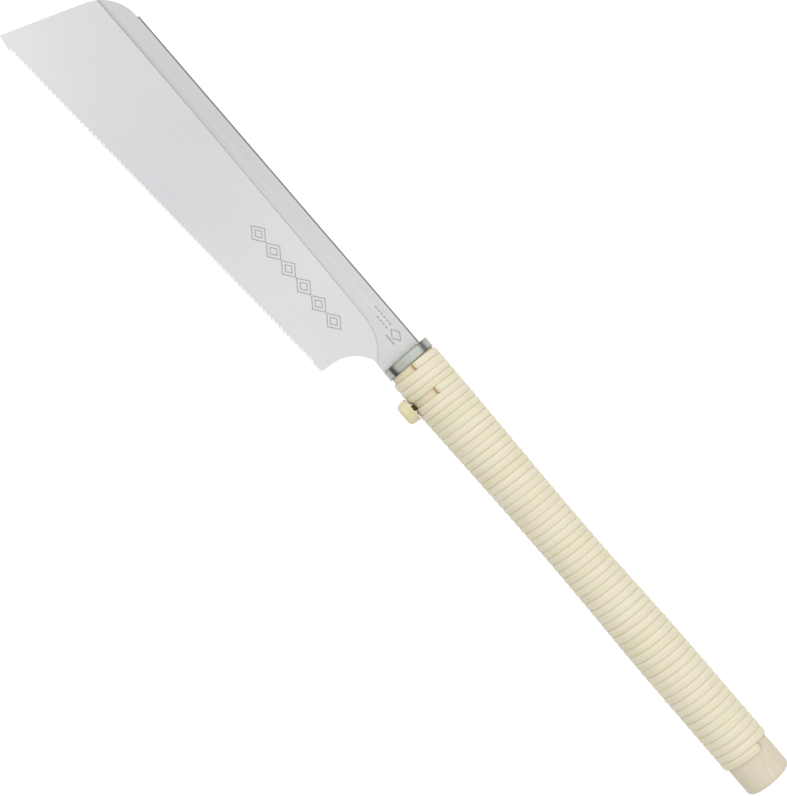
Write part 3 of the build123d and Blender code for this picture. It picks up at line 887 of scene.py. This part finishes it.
KNOB_TOP = -15.0
KNOB_BOTTOM = -21.3
KNOB_RADIUS = 6.7
KNOB_TAPER = 0.6
KNOB_STATIONS = (1.6, 2.3, 3.0, 3.7)
KNOB_STEPS = 72
NECK_RADIUS = 2.2
NECK_CENTRE = 6.0
NECK_ROUND = 0.7
END_CENTRE = 3.95
END_WIDTH = 2.3
END_HEIGHT = 2.4
RECESS_RIM = 3.2
RECESS_FLOOR = 2.9
RECESS_MIDDLE = 0.4
RECESS_DEPTH = 0.25


def turned_ring(radius, y, count=ROUND_STEPS):
    """Ring about the stud. The radius is a number, or a function of the share of a turn."""
    ring = []
    for j in range(count):
        share = j / count
        r = radius(share) if callable(radius) else radius
        ring.append(saw(STUD_X + r * math.cos(TAU * share), y, r * math.sin(TAU * share)))
    return ring


def thread_radius(depth):
    """Radius of a right-hand thread round a turn, at a depth below the shoulder."""

    def radius(share):
        ridge = 1 - abs(2 * ((depth / THREAD_PITCH - share) % 1) - 1)
        return THREAD_MINOR + (THREAD_MAJOR - THREAD_MINOR) * min(1.0, RIDGE_WIDTH * ridge)

    return radius


def threaded_stud():
    """Stud with a plain tip that sits in the foot, and a thread from its shoulder into the knob."""
    rings = [
        turned_ring(TIP_END_RADIUS, STUD_SHOULDER + TIP_LENGTH),
        turned_ring(TIP_RADIUS, STUD_SHOULDER + TIP_STRAIGHT),
        turned_ring(TIP_RADIUS, STUD_SHOULDER),
        turned_ring(THREAD_MINOR, STUD_SHOULDER),
    ]
    steps = round((STUD_SHOULDER - STUD_IN_KNOB) / THREAD_PITCH * RINGS_PER_THREAD)
    for k in range(1, steps + 1):
        depth = k * THREAD_PITCH / RINGS_PER_THREAD
        rings.append(turned_ring(thread_radius(depth), STUD_SHOULDER - depth))
    return build("threaded_stud", [shell(rings)], 40)


def quarter(steps):
    """Cosine and sine at even steps over a quarter turn."""
    angles = [math.pi / 2 * k / steps for k in range(steps + 1)]
    return [(math.cos(a), math.sin(a)) for a in angles]


def moulded_knob():
    """Round knob with a slight taper, a small round at its neck, a larger one at its end, and a recess."""
    taper = KNOB_TAPER / (KNOB_TOP - KNOB_BOTTOM)
    profile = [(NECK_RADIUS, KNOB_TOP)]
    for cos, sin in quarter(6):
        profile.append((NECK_CENTRE + NECK_ROUND * sin, KNOB_TOP - NECK_ROUND + NECK_ROUND * cos))
    profile += [(KNOB_RADIUS - taper * depth, KNOB_TOP - depth) for depth in KNOB_STATIONS]
    for cos, sin in quarter(8):
        y = KNOB_BOTTOM + END_HEIGHT - END_HEIGHT * sin
        profile.append((END_CENTRE + END_WIDTH * cos, y))
    floor = KNOB_BOTTOM + RECESS_DEPTH
    profile += [(RECESS_RIM, KNOB_BOTTOM), (RECESS_FLOOR, floor), (RECESS_MIDDLE, floor)]
    rings = [turned_ring(radius, y, KNOB_STEPS) for radius, y in profile]
    return build("moulded_knob", [shell(rings)], 40)


add_piece("threaded_stud", threaded_stud(), STEEL_STUD, "clamp_screw", ["clamp_stud"])
add_piece("moulded_knob", moulded_knob(), PLASTIC, "clamp_screw", ["clamp_knob"])


WELD_REACH = 0.002 * MM
BEVEL_ANGLE = math.radians(50)
BEVEL_SEGMENTS = 2


def ease_edges(node, width):
    """Small bevels on a CAD node's sharp edges."""
    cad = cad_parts[node]
    weld = cad.modifiers.new("weld", "WELD")
    weld.merge_threshold = WELD_REACH
    bevel = cad.modifiers.new("edges", "BEVEL")
    bevel.width = width
    bevel.segments = BEVEL_SEGMENTS
    bevel.limit_method = "ANGLE"
    bevel.angle_limit = BEVEL_ANGLE


ease_edges("mouth_ferrule", 0.3 * MM)

# ---------------------------------------------------------------- floor, lights, camera

FLOOR_SIZE = 60.0
CAMERA_HEIGHT = 0.95
CAMERA_SIDEWAYS = (-0.0006, -0.01885)
FIELD_OF_VIEW = 0.4103
SENSOR = 36.0
ROLL = math.radians(49.3)
SOFTBOX_SIZE = (2.4, 2.0)
SOFTBOX_POWER = 9
SOFTBOX_PLACE = (-1.7, 0.5, 0.75)
SKY = 1.45
SKY_FROM = 0.57
SKY_TILT = 0.2
NOSE_TILT = 0.1
HORIZON_TOP = 0.38
HORIZON_LEVEL = 0.1
HORIZON_BACK_LEVEL = 0.2
HORIZON_TURN = 0.3
FLAG_REACH = 0.4
FLAG_FADE = 0.3
END_LEVEL = 0.6


def make_floor():
    """Wide floor at the saw's lowest point."""
    mesh = bpy.data.meshes.new("floor")
    half = FLOOR_SIZE / 2
    corners = [(-half, -half), (half, -half), (half, half), (-half, half)]
    mesh.from_pydata([(x, y, CAD_LOW.z) for x, y in corners], [], [(0, 1, 2, 3)])
    floor = bpy.data.objects.new("floor", mesh)
    bpy.context.scene.collection.objects.link(floor)
    floor.data.materials.append(floor_paint())


def area_light(name, size, power, position):
    """Rectangular light aimed at the middle of the saw's frame."""
    light = bpy.data.lights.new(name, "AREA")
    light.shape = "RECTANGLE"
    light.size, light.size_y = size
    light.energy = power
    lamp = bpy.data.objects.new(name, light)
    bpy.context.scene.collection.objects.link(lamp)
    lamp.location = position
    lamp.rotation_euler = (-Vector(position)).to_track_quat("-Z", "Y").to_euler()


def make_world():
    """Pale sky, brighter on the side of the saw's back and of its nose, with a dark flag along the horizon
    on either long side of the saw."""
    world = bpy.data.worlds.new("studio")
    bpy.context.scene.world = world
    world.use_nodes = True
    tree = world.node_tree

    def put(socket, value):
        if isinstance(value, bpy.types.NodeSocket):
            tree.links.new(value, socket)
        elif value is not None:
            socket.default_value = value

    def add(kind, *inputs, **settings):
        """A new node's outputs. Its inputs are given in order, and None leaves one as it is."""
        node = tree.nodes.new(kind)
        for key, value in settings.items():
            setattr(node, key, value)
        for i, value in enumerate(inputs):
            put(node.inputs[i], value)
        return node.outputs

    def span(value, low, high, to_low=None, to_high=None):
        return add("ShaderNodeMapRange", value, low, high, to_low, to_high, clamp=True)[0]

    def combine(operation, first, second):
        return add("ShaderNodeMath", first, second, operation=operation)[0]

    generated = add("ShaderNodeTexCoord")["Generated"]
    direction = add("ShaderNodeSeparateXYZ", generated)
    horizon = span(direction["Y"], -HORIZON_TURN, HORIZON_TURN, HORIZON_LEVEL, HORIZON_BACK_LEVEL)
    height = span(direction["Z"], HORIZON_TOP, SKY_FROM, horizon)
    sideways = add("ShaderNodeMath", direction["X"], operation="ABSOLUTE")[0]
    end = span(sideways, FLAG_REACH, FLAG_REACH + FLAG_FADE, None, END_LEVEL)
    level = combine("MAXIMUM", height, end)
    tilt_by = (-NOSE_TILT, SKY_TILT, 0)
    tilt = add("ShaderNodeVectorMath", generated, tilt_by, operation="DOT_PRODUCT")["Value"]
    total = combine("MULTIPLY", level, combine("ADD", tilt, 1.0))
    background = tree.nodes["Background"]
    background.inputs["Color"].default_value = grey(1.0)
    put(background.inputs["Strength"], combine("MULTIPLY", total, SKY))


def make_camera():
    """Straight down on the flat of the blade, rolled so that the saw lies along the frame's diagonal."""
    data = bpy.data.cameras.new("camera")
    data.lens = SENSOR * CAMERA_HEIGHT / FIELD_OF_VIEW
    data.sensor_width = SENSOR
    camera = bpy.data.objects.new("camera", data)
    bpy.context.scene.collection.objects.link(camera)
    across, up = CAMERA_SIDEWAYS
    camera.location = (across, AXIS_Y + up, AXIS_Z + CAMERA_HEIGHT)
    camera.rotation_euler = (0, 0, ROLL)
    bpy.context.scene.camera = camera


make_floor()
make_world()
area_light("nose_softbox", SOFTBOX_SIZE, SOFTBOX_POWER, SOFTBOX_PLACE)
make_camera()
bpy.context.scene.view_settings.view_transform = "Standard"
